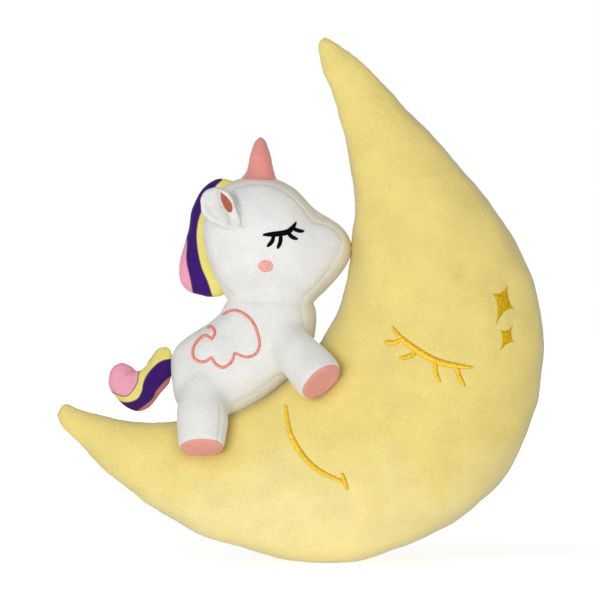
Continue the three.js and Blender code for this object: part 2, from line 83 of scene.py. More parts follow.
# Sizes of the cloth and its stitching.
MOON_FULLNESS = 0.56  # half thickness of the moon as a share of its half width
NARROW = 12 * MM  # half width of a stretch that is stuffed fuller for its width
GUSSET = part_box("head_gusset")[1].y  # half width of the unicorn's gusset
NO_SEAM = 99.0  # the distance from a seam, in millimetres, where there is none
THREAD_HEIGHT = 0.8 * MM
STITCH_PITCH = 0.9  # millimetres from one satin stitch to the next
SATIN_STEP = 0.8 * MM  # from one ring of corners to the next along a satin line
PAINTED_SHADE_SIDE = (0.6, 0.8)  # the way in X and Z that the side of a satin line with painted shade faces
SKIN_VOXEL = 2.0 * MM
HOLLOW_FILL = 3 * MM  # the skin swells and shrinks by this, which rounds off its inner corners
LINING_DEPTH = 1.6 * MM

# Grooves in the cloth, by their depth and width in millimetres.
SKIN_SEAM = (0.6, 1.7)
MOON_SEAM = (1.0, 1.5)
CREST_SEAM = (0.8, 1.2)
ROUND_MOON_STITCHES = (1.3, 5)
ROUND_WING = (0.7, 3)
NECK_TUCK = (1.3, 1.9)
EAR_FRONT = (3.0, 2.2)
TAIL_CREASE = (2.4, 1.7)
EAR_CREASE = (0.9, 2.0)
EAR_HOLLOW = (2.0, 3.4)

# Colours as they look in soft daylight.
MOON_YELLOW = (240, 220, 134)
MOON_PALE = (247, 234, 172)
# Painted sheen and shade where the moon's pile is seen from its side.
MOON_EDGE = (213, 203, 163)
# Painted shade, warm brown, for the moon's dents and where it lies close under the unicorn.
PAINTED_SHADE_BROWN = (150, 104, 30)
PURE_WHITE = (255, 255, 255)
WHITE = (235, 235, 233)
# Partly the gusset's warmer white, partly painted shade and yellow light from the moon.
CREAM = (233, 230, 219)
PINK = (228, 148, 141)
SOLE_PINK = (238, 166, 156)
MANE_PINK = (243, 168, 190)
PURPLE = (62, 24, 112)
PALE_YELLOW = (236, 226, 128)
EAR_PINK = (190, 104, 84)
WING_PINK = (250, 152, 140)
LASH_BLACK = (12, 9, 16)
GOLD = (253, 211, 36)
STAR_GOLD = (222, 176, 4)
CHEEK_PINK = (252, 178, 164)
# Painted yellow light that the moon throws onto the muzzle.
TACK_TAN = (226, 190, 116)
BOUNCED_YELLOW = (234, 210, 132)
TAIL_SALMON = (212, 130, 126)
# Painted sheen where the horn's pile is seen from its side.
HORN_EDGE = (236, 190, 190)
PRINT_OUTLINE = (90, 60, 90)
PAINTED_SHADE_SHARES = (0.9, 0.78, 0.5)  # a thread's painted shade colour, on its dark side and edges, as shares of its own

# ---- Shapes: corners, faces and named values at the corners ----


class Shape:
    """A surface as numpy corners and a list of faces, with its smooth normals."""

    def __init__(self, corners, faces):
        self.corners = np.asarray(corners, float)
        self.faces = faces
        self.values = {}

    def mesh(self, name="work"):
        mesh = bpy.data.meshes.new(name)
        mesh.from_pydata(self.corners.tolist(), [], self.faces)
        mesh.update()
        return mesh

    def from_mesh(self, collection, *what):
        mesh = self.mesh()
        found = read(getattr(mesh, collection), *what)
        bpy.data.meshes.remove(mesh)
        return found

    def normals(self):
        return self.from_mesh("vertex_normals", "vector", 3)

    def edges(self):
        return self.from_mesh("edges", "vertices", 2, np.int32)

    def tree(self):
        return BVHTree.FromPolygons(self.corners.tolist(), self.faces)

    def pushed(self, amount):
        """Moved along its normals, outwards when amount is positive."""
        amount = np.broadcast_to(amount, len(self.corners))
        return Shape(self.corners + self.normals() * amount[:, None], self.faces)

    def mirrored(self):
        return Shape(self.corners * (1, -1, 1), [face[::-1] for face in self.faces])


def linked(name, data):
    """A new object in the scene."""
    obj = bpy.data.objects.new(name, data)
    bpy.context.scene.collection.objects.link(obj)
    return obj


def read(collection, name, width, kind=np.float32):
    """One property of every item of a Blender collection."""
    found = np.zeros(len(collection) * width, kind)
    collection.foreach_get(name, found)
    return found.reshape(-1, width) if width > 1 else found


def together(shapes):
    corners = []
    faces = []
    for shape in shapes:
        start = sum(len(part) for part in corners)
        corners.append(shape.corners)
        faces += [tuple(corner + start for corner in face) for face in shape.faces]
    whole = Shape(np.vstack(corners), faces)
    for name in shapes[0].values:
        whole.values[name] = np.concatenate([shape.values[name] for shape in shapes])
    return whole


def through(shape, kind, **settings):
    """The shape after one Blender modifier."""
    obj = linked("work", shape.mesh())
    modifier = obj.modifiers.new("step", kind)
    for key, value in settings.items():
        setattr(modifier, key, value)
    mesh = obj.evaluated_get(bpy.context.evaluated_depsgraph_get()).to_mesh()
    made = Shape(read(mesh.vertices, "co", 3), [tuple(face.vertices) for face in mesh.polygons])
    bpy.data.objects.remove(obj)
    return made


def remeshed(shape, voxel):
    return through(shape, "REMESH", mode="VOXEL", voxel_size=voxel)


def subdivided(shape):
    return through(shape, "SUBSURF", levels=1)


def relaxed(shape, rounds, where=1.0, back=-0.53):
    """Evened out: each corner goes towards the middle of its neighbours, then part of the way back."""
    edges = shape.edges()
    ends, others = np.vstack([edges, edges[:, ::-1]]).T
    count = len(shape.corners)
    neighbours = np.maximum(np.bincount(ends, minlength=count), 1)
    corners = shape.corners.copy()
    where = np.broadcast_to(where, count)[:, None]
    for _ in range(rounds):
        for share in (0.5, back):
            sums = [np.bincount(ends, corners[others, k], count) for k in range(3)]
            middle = np.stack(sums, axis=1) / neighbours[:, None]
            corners += share * where * (middle - corners)
    return Shape(corners, shape.faces)


def spline(rows, at):
    """Rows of numbers, run through smoothly, at the given shares of the way."""
    rows = np.asarray(rows, float)
    steps = np.sqrt(np.linalg.norm(np.diff(rows, axis=0), axis=1))
    knots = np.concatenate([[0], np.cumsum(steps)]) / steps.sum()
    slopes = np.gradient(rows, knots, axis=0)
    first = np.clip(np.searchsorted(knots, at, side="right") - 1, 0, len(rows) - 2)
    width = (knots[first + 1] - knots[first])[:, None]
    t = (np.asarray(at) - knots[first])[:, None] / width
    start = (2 * t**3 - 3 * t**2 + 1) * rows[first] + (t**3 - 2 * t**2 + t) * width * slopes[first]
    end = (3 * t**2 - 2 * t**3) * rows[first + 1] + (t**3 - t**2) * width * slopes[first + 1]
    return start + end


def smoothstep(low, high, value):
    t = np.clip((np.asarray(value, float) - low) / (high - low), 0, 1)
    return t * t * (3 - 2 * t)


def bump(distance, width):
    return np.exp(-((distance / width) ** 2))


def groove(distance, depth, width):
    """How a soft groove pushes a surface inwards, from its depth and width in millimetres."""
    return -depth * MM * bump(distance, width * MM)


def swells(corners, *sizes):
    """Soft random swells, each given by its height and length in millimetres and its seed."""
    waves = 9
    total = np.zeros(len(corners))
    for height, length, seed in sizes:
        random = np.random.default_rng(seed)
        for _ in range(waves):
            way = unit(random.normal(size=3))
            way *= 2 * math.pi / (length * MM * random.uniform(0.8, 1.5))
            wave = np.sin(corners @ way + random.uniform(0, 2 * math.pi))
            total += height * MM * 0.7 / math.sqrt(waves) * wave
    return total


def box_of(*nodes):
    lows, highs = zip(*[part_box(node) for node in nodes])
    return np.min(lows, axis=0), np.max(highs, axis=0)


def middle_of(node):
    low, high = box_of(node)
    return (low + high) / 2


def unit(vector):
    return vector / np.linalg.norm(vector)


def turns(around):
    """Bearings evenly round a circle."""
    return 2 * math.pi * np.arange(around) / around


def wheel(across, over, around):
    """A circle of radius one in the plane of two directions."""
    return np.outer(np.cos(turns(around)), across) + np.outer(np.sin(turns(around)), over)


def on_sheet(box, points):
    """Shares of a box's length and height as X and Z."""
    low, high = box
    return low[[0, 2]] + np.array(points) * (high - low)[[0, 2]]


def grid_faces(rings, around, closed_ends=True):
    """Faces of rings of corners; with closed ends the last two corners are the poles."""
    faces = []
    for ring in range(rings - 1):
        for k in range(around):
            a = ring * around + k
            b = ring * around + (k + 1) % around
            faces.append((a, b, b + around, a + around))
    if closed_ends:
        start, end = rings * around, rings * around + 1
        last = (rings - 1) * around
        for k in range(around):
            faces.append((start, (k + 1) % around, k))
            faces.append((end, last + k, last + (k + 1) % around))
    return faces


def pillow(box, rows, along=48, around=36, depth=None, lens=0.0):
    """A stuffed form between two curves of the middle plane that meet at both ends.

    A row holds the shares of X and Z of one curve, of the other, and of the half depth there. If
    depth is given it is the half depth as a share of the half width, and more where it is narrow.
    """
    low, high = box
    size = high - low
    scaled = []
    for row in rows:
        (ax, az), (bx, bz) = on_sheet(box, [row[0:2], row[2:4]])
        half = math.hypot(ax - bx, az - bz) / 2
        if depth:
            deep = depth * half * (1 + 0.6 * math.exp(-half / NARROW))
        else:
            deep = row[4] * size[1] / 2
        scaled.append((ax, az, bx, bz, deep))
    steps = np.arange(1, along)
    places = spline(scaled, 0.5 - 0.5 * np.cos(math.pi * steps / along))
    side = np.sin(turns(around)) * np.abs(np.sin(turns(around))) ** lens
    middle = (places[:, 0:2] + places[:, 2:4]) / 2
    half = (places[:, 0:2] - places[:, 2:4]) / 2
    flat = middle[:, None, :] + half[:, None, :] * np.cos(turns(around))[None, :, None]
    deep = np.maximum(places[:, 4], 0.2 * MM)[:, None] * side[None, :]
    rings = np.stack([flat[..., 0], deep, flat[..., 1]], axis=-1)
    return closed(rings, [(row[0], 0, row[1]) for row in (scaled[0], scaled[-1])])


def closed(rings, ends):
    """A closed form of rings of corners with a pole at each end, with its faces turned outwards."""
    corners = np.vstack(list(rings) + [[end] for end in ends])
    faces = grid_faces(len(rings), len(rings[0]))
    from_middle = corners - corners.mean(axis=0)
    volume = 0.0
    for first, *others in faces:
        for a, b in zip(others, others[1:]):
            volume += from_middle[first] @ np.cross(from_middle[a], from_middle[b])
    return Shape(corners, faces if volume > 0 else [face[::-1] for face in faces])


# ---- Lines of stitching ----


def drawn(points, spacing):
    """A smooth line through points, with corners about this far apart."""
    length = sum(math.dist(a, b) for a, b in zip(points, points[1:]))
    return spline(points, np.linspace(0, 1, max(int(length / spacing), 4)))


def from_line(points, line, signed=False):
    """How far points of the middle plane lie from a line, positive on its left when signed."""
    best = np.full(len(points), np.inf)
    sign = np.ones(len(points))
    for a, b in zip(line, line[1:]):
        way = np.subtract(b, a)
        rel = points - np.asarray(a)
        t = np.clip(rel @ way / max(way @ way, 1e-12), 0, 1)
        gap = rel - t[:, None] * way
        distance = np.hypot(gap[:, 0], gap[:, 1])
        closer = distance < best
        best = np.where(closer, distance, best)
        turned = way[0] * rel[:, 1] - way[1] * rel[:, 0]
        sign = np.where(closer, np.where(turned < 0, -1.0, 1.0), sign)
    return best * sign if signed else best


def from_lines(corners, lines):
    flat = corners[:, [0, 2]]
    return np.min([from_line(flat, line) for line in lines], axis=0)


def landed(tree, x, z, side):
    """Where a line from the near side (-1) or far side (1) meets a surface, and the normal there."""
    reach = 0.3
    place, normal, _, _ = tree.ray_cast(Vector((x, side * reach, z)), Vector((0, -side, 0)))
    if place is None:
        return None
    if normal.y * side < 0:
        normal = -normal
    return np.array(place), np.array(normal)


def satin(tree, points, width, side, taper):
    """A raised line of satin stitches laid on a surface, narrowed towards its ends.

    Each corner knows how far along the line it is, its share of the way off the middle, and how
    much it faces the side of the line where shade is painted.
    """
    line = drawn(points, SATIN_STEP)
    ways = np.gradient(line, axis=0)
    ways /= np.linalg.norm(ways, axis=1)[:, None]
    around = 10
    rings = []
    run = []
    lean = []
    across = np.cos(turns(around))
    for i, (place, way) in enumerate(zip(line, ways)):
        share = abs(2 * i / (len(line) - 1) - 1)
        half = width / 2 * (1 - taper * share**3)
        ring = []
        for turn in turns(around):
            off = half * math.cos(turn)
            found = landed(tree, place[0] - way[1] * off, place[1] + way[0] * off, side)
            if found is None:
                break
            lift = THREAD_HEIGHT * math.sin(turn) * (1 if math.sin(turn) > 0 else 0.5)
            ring.append(found[0] + found[1] * lift)
        if len(ring) == around:
            rings.append(ring)
            run.append(i * SATIN_STEP)
            lean.append(across * (way[0] * PAINTED_SHADE_SIDE[1] - way[1] * PAINTED_SHADE_SIDE[0]))
    corners = [corner for ring in rings for corner in ring]
    corners += [np.mean(rings[0], axis=0), np.mean(rings[-1], axis=0)]
    shape = Shape(corners, grid_faces(len(rings), around))
    shape.values["run"] = np.concatenate([np.repeat(run, around), [run[0], run[-1]]]) / MM
    shape.values["off"] = np.concatenate([np.tile(np.abs(across), len(rings)), [0, 0]])
    shape.values["lean"] = np.concatenate(lean + [[0, 0]])
    return shape


def satin_lines(tree, lines, side):
    return together([satin(tree, points, width, side, taper) for points, width, taper in lines])


def patch(tree, outline, side, height=THREAD_HEIGHT):
    """A filled patch raised on a surface, inside a closed outline of the middle plane."""
    rings = 7
    outline = np.asarray(outline)
    middle = outline.mean(axis=0)
    around = len(outline)
    corners = []
    for ring in range(rings):
        share = 1 - ring / rings
        for place in middle + (outline - middle) * share:
            spot, normal = landed(tree, place[0], place[1], side)
            corners.append(spot + normal * height * (1 - 1.4 * share**6))
    spot, normal = landed(tree, middle[0], middle[1], side)
    corners.append(spot + normal * height)
    faces = grid_faces(rings, around, closed_ends=False)
    last = (rings - 1) * around
    faces += [(last + k, last + (k + 1) % around, rings * around) for k in range(around)]
    shape = Shape(corners, faces)
    if shape.normals()[-1][1] * side < 0:
        shape = Shape(corners, [face[::-1] for face in faces])
    shape.values["run"] = (shape.corners[:, 0] + shape.corners[:, 2]) / MM
    rim = np.repeat(1 - np.arange(rings) / rings, around) ** 6
    shape.values["off"] = np.append(rim, 0)
    return shape


# ---- Materials ----


def linear(colour):
    shares = [value / 255 for value in colour]
    return [v / 12.92 if v <= 0.04045 else ((v + 0.055) / 1.055) ** 2.4 for v in shares] + [1.0]


class Graph:
    """A node material that is built up one node at a time."""

    def __init__(self, name):
        self.material = bpy.data.materials.new(name)
        self.material.use_nodes = True
        self.tree = self.material.node_tree
        self.shader = self.tree.nodes["Principled BSDF"]

    def node(self, kind, inputs=None, **settings):
        made = self.tree.nodes.new("ShaderNode" + kind)
        for key, value in settings.items():
            setattr(made, key, value)
        for key, value in (inputs or {}).items():
            self.give(made.inputs[key], value)
        return made

    def give(self, socket, value):
        if isinstance(value, bpy.types.NodeSocket):
            self.tree.links.new(value, socket)
        else:
            socket.default_value = value

    def set(self, name, value):
        self.give(self.shader.inputs[name], value)

    def math(self, operation, a, b=0.0):
        return self.node("Math", {0: a, 1: b}, operation=operation).outputs[0]

    def times(self, a, b):
        return self.math("MULTIPLY", a, b)

    def plus(self, a, b):
        return self.math("ADD", a, b)

    def value(self, name):
        return self.node("Attribute", attribute_name=name).outputs["Fac"]

    def rest(self):
        return self.node("Attribute", attribute_name="rest").outputs["Vector"]

    def noise(self, length, detail=2.0):
        """Noise with features about this many millimetres long."""
        inputs = {"Vector": self.rest(), "Scale": 1 / length, "Detail": detail}
        return self.node("TexNoise", inputs).outputs["Fac"]

    def mixed(self, factor, a, b, blend_type="MIX"):
        made = self.node("Mix", data_type="RGBA", blend_type=blend_type)
        self.give(made.inputs[0], factor)
        self.give(made.inputs[6], a)
        self.give(made.inputs[7], b)
        return made.outputs[2]

    def shaded(self, colour, strength):
        tone = self.node("CombineColor", {0: strength, 1: strength, 2: strength}).outputs[0]
        return self.mixed(1.0, colour, tone, "MULTIPLY")

    def raised(self, height, strength, distance):
        inputs = {"Strength": strength, "Distance": distance, "Height": height}
        self.set("Normal", self.node("Bump", inputs).outputs[0])

    def ranged(self, value, low, high, to_low, to_high, smooth=False):
        inputs = {"Value": value, "From Min": low, "From Max": high, "To Min": to_low, "To Max": to_high}
        kind = "SMOOTHSTEP" if smooth else "LINEAR"
        return self.node("MapRange", inputs, interpolation_type=kind).outputs[0]


def plush(name, colour, nap=1.0, sheen=0.35, seam_shade=0.35, gleam=(255, 252, 240), edge=None):
    """Short pile cloth. Colour is a colour or a function that works it out in the graph.

    Nap is how strongly the brushed patches show, the seam shade how dark a seam's painted shade is,
    gleam the colour of its sheen, and edge the colour of a painted sheen and shade where the pile is
    seen side-on.
    """
    graph = Graph(name)
    base = colour(graph) if callable(colour) else linear(colour)
    brushed = graph.noise(26, 3.0)
    tufts = graph.noise(2.0, 3.0)
    fibres = graph.noise(0.7)
    pile = graph.ranged(brushed, 0.3, 0.7, 1 - 0.07 * nap, 1 + 0.06 * nap)
    pile = graph.plus(pile, graph.ranged(tufts, 0.3, 0.7, -0.04 * nap, 0.04 * nap))
    pile = graph.plus(pile, graph.ranged(fibres, 0.3, 0.7, -0.08, 0.08))
    # Painted shade along the seams.
    seam = graph.math("ABSOLUTE", graph.value("seam"))
    pile = graph.times(pile, graph.ranged(seam, 0.0, 0.9, 1 - seam_shade, 1.0, True))
    # Painted yellow light from the moon, near the muzzle.
    tinted = graph.mixed(graph.value("sewn"), graph.shaded(base, pile), linear(BOUNCED_YELLOW))
    # Painted sheen and shade: the colour turns to the edge colour where the pile is seen from its side.
    if edge:
        facing = graph.node("LayerWeight", {"Blend": 0.5}).outputs["Facing"]
        tinted = graph.mixed(graph.ranged(facing, 0.3, 0.9, 0.0, 0.85), tinted, linear(edge))
    graph.set("Base Color", tinted)
    graph.set("Roughness", graph.ranged(tufts, 0.3, 0.7, 0.98, 0.82))
    graph.set("Specular IOR Level", 0.15)
    graph.set("Sheen Weight", sheen)
    graph.set("Sheen Roughness", 0.35)
    graph.set("Sheen Tint", linear(gleam))
    height = graph.plus(graph.times(fibres, 0.35), tufts)
    graph.raised(graph.plus(height, graph.times(brushed, 2.0)), 0.45, 0.35 * MM)
    return graph.material


def thread(name, colour, dull=0.45, shine=0.4):
    """Satin stitches: fine ridges across the line, with painted highlight on one side, painted shade on
    the other.

    Dull is how rough the thread is, and shine how strongly it mirrors.
    """
    graph = Graph(name)
    run = graph.times(graph.value("run"), 2 * math.pi / STITCH_PITCH)
    ridge = graph.ranged(graph.math("SINE", run), -1.0, 1.0, 0.0, 1.0)
    wear = graph.noise(1.3, 3.0)
    pile = graph.ranged(wear, 0.35, 0.65, 0.74, 1.16)
    pile = graph.times(pile, graph.ranged(ridge, 0.0, 1.0, 0.84, 1.04))
    # Painted light: a lighter middle, darker edges, and a painted highlight on the side away from the
    # shade.
    pile = graph.times(pile, graph.ranged(graph.value("off"), 0.2, 1.0, 1.1, 0.85))
    pile = graph.times(pile, graph.ranged(graph.value("lean"), -0.8, 0.0, 1.35, 1.0))
    # Painted shade on the dark side of the line and along its edges.
    deep = [value * share for value, share in zip(colour, PAINTED_SHADE_SHARES)]
    painted_shade_side = graph.ranged(graph.value("lean"), 0.0, 0.8, 0.0, 0.75)
    rim = graph.ranged(graph.value("off"), 0.6, 1.0, 0.0, 0.7)
    base = graph.mixed(graph.math("MAXIMUM", painted_shade_side, rim), linear(colour), linear(deep))
    graph.set("Base Color", graph.shaded(base, pile))
    graph.set("Roughness", graph.ranged(wear, 0.3, 0.7, dull, dull + 0.15))
    graph.set("Specular IOR Level", shine)
    graph.set("Anisotropic", 0.5)
    graph.raised(ridge, 0.6, 0.2 * MM)
    return graph.material


def white_and_cream(graph):
    """White side panels, and a cream gusset where the distance from its seam is negative.

    The gusset's cream is partly a warmer white of its cloth and partly painted shade and moon light.
    """
    gusset = graph.ranged(graph.value("seam"), -0.4, 0.1, 1.0, 0.0)
    return graph.mixed(gusset, linear(WHITE), linear(CREAM))


def yellow_paler_below(graph):
    """Yellow that turns paler towards the foot of the moon, in soft patches, under painted shade."""
    height = graph.node("SeparateXYZ", {0: graph.rest()}).outputs["Z"]
    drift = graph.ranged(graph.noise(60), 0.3, 0.7, -22.0, 22.0)
    pale = graph.ranged(graph.plus(height, drift), 20.0, 95.0, 0.8, 0.0, True)
    paler_below = graph.mixed(pale, linear(MOON_YELLOW), linear(MOON_PALE))
    # Painted shade from the moon's dents and the unicorn, laid over the yellow.
    return graph.mixed(graph.value("smudge"), paler_below, linear(PAINTED_SHADE_BROWN))


def striped(borders, colours):
    """Printed stripes: a border's value is positive past it, and each has a thin dark outline."""

    def work_out(graph):
        colour = linear(colours[0])
        outline = 0.0
        for name, next_colour in zip(borders, colours[1:]):
            value = graph.value(name)
            past = graph.ranged(value, -0.15, 0.15, 0.0, 1.0)
            colour = graph.mixed(past, colour, linear(next_colour))
            near = graph.ranged(graph.math("ABSOLUTE", value), 0.25, 0.65, 0.75, 0.0)
            outline = graph.math("MAXIMUM", outline, near)
        return graph.mixed(outline, colour, linear(PRINT_OUTLINE))

    return work_out


PAPER_GLOW = 0.22  # light that the paper throws back up at the toy
SHADE_LIFT = 0.36  # how much lighter the paper looks close to the toy, more further away


def stage_material():
    """Pale paper that glows a little, so that it stays lighter than the toy."""
    graph = Graph("paper")
    grain = graph.node("TexNoise", {"Scale": 40.0, "Detail": 2.0}).outputs["Fac"]
    base = graph.mixed(grain, (0.93, 0.93, 0.93, 1), (0.95, 0.95, 0.95, 1))
    graph.set("Base Color", base)
    graph.set("Roughness", 0.95)
    graph.set("Specular IOR Level", 0.0)
    graph.set("Emission Color", (1, 1, 1, 1))
    seen = graph.node("LightPath").outputs["Is Camera Ray"]
    place = graph.node("NewGeometry").outputs["Position"]
    away = graph.node("VectorMath", {0: place}, operation="LENGTH").outputs["Value"]
    lift = graph.times(seen, graph.ranged(away, 0.3, 1.2, SHADE_LIFT, 0.8, True))
    graph.set("Emission Strength", graph.plus(lift, PAPER_GLOW))
    return graph.material


# ---- Pieces ----


def show(name, shape, material, nodes, body=None, faces=None, normals=None):
    """A mesh object of a shape, or of some of its faces, that stands for CAD nodes.

    It rides on a body if one is given, and its one slot holds its material.
    """
    chosen = shape.faces if faces is None else [shape.faces[i] for i in np.flatnonzero(faces)]
    used = np.unique(np.concatenate([np.asarray(face) for face in chosen]))
    number = np.full(len(shape.corners), -1)
    number[used] = np.arange(len(used))
    part = Shape(shape.corners[used], [tuple(number[list(face)].tolist()) for face in chosen])
    mesh = part.mesh(name)
    mesh.polygons.foreach_set("use_smooth", [True] * len(mesh.polygons))
    values = {"seam": np.full(len(shape.corners), NO_SEAM), **shape.values}
    for key, value in values.items():
        attribute = mesh.attributes.new(key, "FLOAT", "POINT")
        attribute.data.foreach_set("value", value[used].astype(np.float32))
    rest = mesh.attributes.new("rest", "FLOAT_VECTOR", "POINT")
    rest.data.foreach_set("vector", (part.corners / MM).astype(np.float32).ravel())
    if normals is not None:
        mesh.normals_split_custom_set_from_vertices(normals[used].tolist())
    mesh.materials.append(material)
    obj = linked(name, mesh)
    # The frame has materials of the same names, so Blender adds a number to the names of these.
    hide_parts(*nodes)
    if body:
        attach(obj, body)
    return obj


def joint_at(name):
    return np.array(JOINTS[name]["pos_m"], float)


def bend(obj):
    """Bakes a piece's placing into its mesh."""
    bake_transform(obj)


# ---- The moon ----

MOON_CLOTH = ["moon_front_panel", "moon_back_panel"]
MOON_BOX = box_of(*MOON_CLOTH)

# Inner rim and outer rim, from the lower tip to the upper one.
MOON_ROWS = [
    (-0.004, 0.283, -0.004, 0.283),
    (0.013, 0.304, 0.008, 0.260),
    (0.046, 0.294, 0.043, 0.228),
    (0.083, 0.283, 0.094, 0.177),
    (0.128, 0.272, 0.155, 0.129),
    (0.186, 0.268, 0.224, 0.087),
    (0.247, 0.272, 0.299, 0.051),
    (0.324, 0.281, 0.383, 0.026),
    (0.396, 0.304, 0.482, 0.003),
    (0.468, 0.348, 0.591, 0.001),
    (0.519, 0.395, 0.709, 0.029),
    (0.552, 0.441, 0.815, 0.075),
    (0.577, 0.485, 0.905, 0.145),
    (0.592, 0.527, 0.962, 0.234),
    (0.600, 0.572, 0.995, 0.340),
    (0.605, 0.622, 0.995, 0.458),
    (0.609, 0.667, 0.960, 0.584),
    (0.606, 0.728, 0.883, 0.694),
    (0.592, 0.804, 0.780, 0.804),
    (0.575, 0.865, 0.696, 0.886),
    (0.556, 0.911, 0.639, 0.941),
    (0.540, 0.956, 0.597, 0.975),
    (0.533, 0.988, 0.571, 0.991),
    (0.549, 1.002, 0.549, 1.002),
]


def lines_on(node, lines):
    """Satin lines over a node: their points, widths in millimetres and how far their ends narrow."""
    return [(on_sheet(box_of(node), points), width * MM, taper) for points, width, taper in lines]


EYELID = lines_on(
    "moon_eyelid_stitching",
    [
        ([(0.09, 0.99), (0.17, 0.83), (0.36, 0.61), (0.6, 0.42), (0.84, 0.34), (1, 0.32)], 5.0, 0.7),
        ([(0.20, 0.79), (0.11, 0.72), (0.0, 0.74)], 3.8, 0.7),
        ([(0.37, 0.62), (0.30, 0.51), (0.17, 0.47)], 3.8, 0.7),
        ([(0.58, 0.45), (0.58, 0.24), (0.63, 0.07)], 3.8, 0.7),
        ([(0.81, 0.37), (0.85, 0.16), (0.91, 0.0)], 3.8, 0.7),
    ],
)
SMILE = lines_on(
    "moon_smile_stitching",
    [
        ([(0.02, 1.0), (0.09, 0.68), (0.28, 0.42), (0.52, 0.24), (0.93, 0.09)], 4.2, 0.5),
        ([(0.90, 0.20), (0.99, 0.0)], 3.4, 0.4),
    ],
)


STAR_WAIST = 0.16  # how far a star's sides are pulled out from its centre


def star_outline(node, centre, tips):
    """A closed four-pointed star whose sides are drawn in towards its centre."""
    centre, *tips = on_sheet(box_of(node), [centre] + tips)
    outline = []
    for tip, following in zip(tips, tips[1:] + tips[:1]):
        waist = centre + STAR_WAIST * (tip + following - 2 * centre)
        for t in np.linspace(0, 1, 10, endpoint=False):
            outline.append((1 - t) ** 2 * tip + 2 * t * (1 - t) * waist + t * t * following)
    return outline


# Each star's centre and tips.
STARS = {
    "moon_large_star": ((0.47, 0.63), [(0.70, 1.08), (-0.16, 0.84), (0.01, -0.10), (1.05, 0.38)]),
    "moon_small_star": ((0.40, 0.54), [(0.87, 1.08), (-0.19, 0.87), (-0.22, -0.12), (1.0, 0.29)]),
}
STARS = {node: star_outline(node, *places) for node, places in STARS.items()}

# Soft dents in the front: where, how wide and how deep in millimetres, and how much painted shade
# darkens them.
MOON_DENTS = [
    ((0.645, 0.440), 24, 2.0, 0.0),
    ((0.822, 0.548), 6, 1.0, 0.14),
    ((0.832, 0.570), 5, 0.5, 0.08),
    ((0.694, 0.205), 6, 0.8, 0.07),
    ((0.735, 0.158), 5, 0.8, 0.09),
    ((0.93, 0.30), 22, 1.2, 0.0),
    ((0.30, 0.13), 26, 1.4, 0.0),
]


def close_to(corners, places, width):
    """One at any of some places, and nothing well away from them."""
    return np.minimum(sum(bump(np.linalg.norm(corners - place, axis=1), width) for place in places), 1)


def moon_shape(unicorn):
    """The cushion: full between its rims, dimpled along its stitching and pressed by the unicorn."""
    shape = pillow(MOON_BOX, MOON_ROWS, along=190, around=84, depth=MOON_FULLNESS, lens=0.12)
    tips = shape.corners[-2:]
    shape = subdivided(relaxed(shape, 12, where=close_to(shape.corners, tips, 9 * MM), back=0.0))
    corners = shape.corners
    swell = swells(corners, (1.5, 90, 1), (0.6, 36, 2))
    swell *= smoothstep(0, 14 * MM, np.abs(corners[:, 1]))
    flat = corners * (1, 0, 1)
    pucker = bump(corners[:, 1], 12 * MM) * swells(flat, (0.8, 34, 5), (0.35, 10, 3))
    seam = groove(corners[:, 1], *MOON_SEAM)
    front = corners[:, 1] < 0
    lines = [drawn(points, 3 * MM) for points, _, _ in EYELID + SMILE]
    lines += [star + star[:1] for star in STARS.values()]
    dimple = groove(from_lines(corners, lines), *ROUND_MOON_STITCHES) * front
    # Painted shade: a darker colour in the dents and close under the unicorn.
    smudge = np.zeros(len(corners))
    for centre, radius, depth, painted_darkness in MOON_DENTS:
        place = on_sheet(MOON_BOX, [centre])[0]
        away = np.hypot(corners[:, 0] - place[0], corners[:, 2] - place[1])
        dent = bump(away, radius * MM) * front
        dimple -= depth * MM * dent
        smudge += painted_darkness * dent
    fuzz = swells(corners, (0.15, 2.5, 4))
    shape = shape.pushed(swell + pucker + seam + dimple + fuzz)
    shape.corners, close = pressed(shape.corners, unicorn)
    # Painted shade where the moon lies close under the unicorn.
    smudge += 0.4 * bump(close, 7 * MM)
    shape.corners[:, 2] = np.maximum(shape.corners[:, 2], 0.0)
    shape = relaxed(shape, 14, where=close_to(shape.corners, tips, 8 * MM), back=-0.3)
    shape.values["seam"] = shape.corners[:, 1] / MM
    shape.values["sewn"] = painted_bounce_near_muzzle(shape.corners)
    shape.values["smudge"] = smudge
    return shape


def pressed(corners, unicorn):
    """Corners with those inside the unicorn pushed clear of it, and how far all are from it."""
    tree = unicorn.tree()
    low = unicorn.corners.min(axis=0) - 15 * MM
    high = unicorn.corners.max(axis=0) + 15 * MM
    near = np.flatnonzero(np.all((corners > low) & (corners < high), axis=1))
    moved = corners.copy()
    away = np.ones(len(corners))
    for i in near:
        place, normal, _, distance = tree.find_nearest(Vector(corners[i]))
        away[i] = distance
        inside = (Vector(corners[i]) - place).dot(normal) < 0
        if inside and distance < 14 * MM:
            moved[i] = np.array(place) + 0.2 * MM * np.array(normal)
    return moved, away


def add_moon(unicorn):
    shape = moon_shape(unicorn)
    tree = shape.tree()
    cloth = plush("moon_plush", yellow_paler_below, nap=0.8, sheen=0.7, seam_shade=0.25, edge=MOON_EDGE)
    show("moon", shape, cloth, MOON_CLOTH + ["moon_filling"], TORSO)
    gold = thread("gold_thread", GOLD)
    bronze = thread("star_thread", STAR_GOLD, 0.5, shine=0.15)
    for name, lines in (("moon_eyelid_stitching", EYELID), ("moon_smile_stitching", SMILE)):
        show(name + "_thread", satin_lines(tree, lines, NEAR), gold, [name], TORSO)
    for name, outline in STARS.items():
        show(name + "_thread", patch(tree, outline, NEAR), bronze, [name], TORSO)


# ---- The unicorn's skin ----

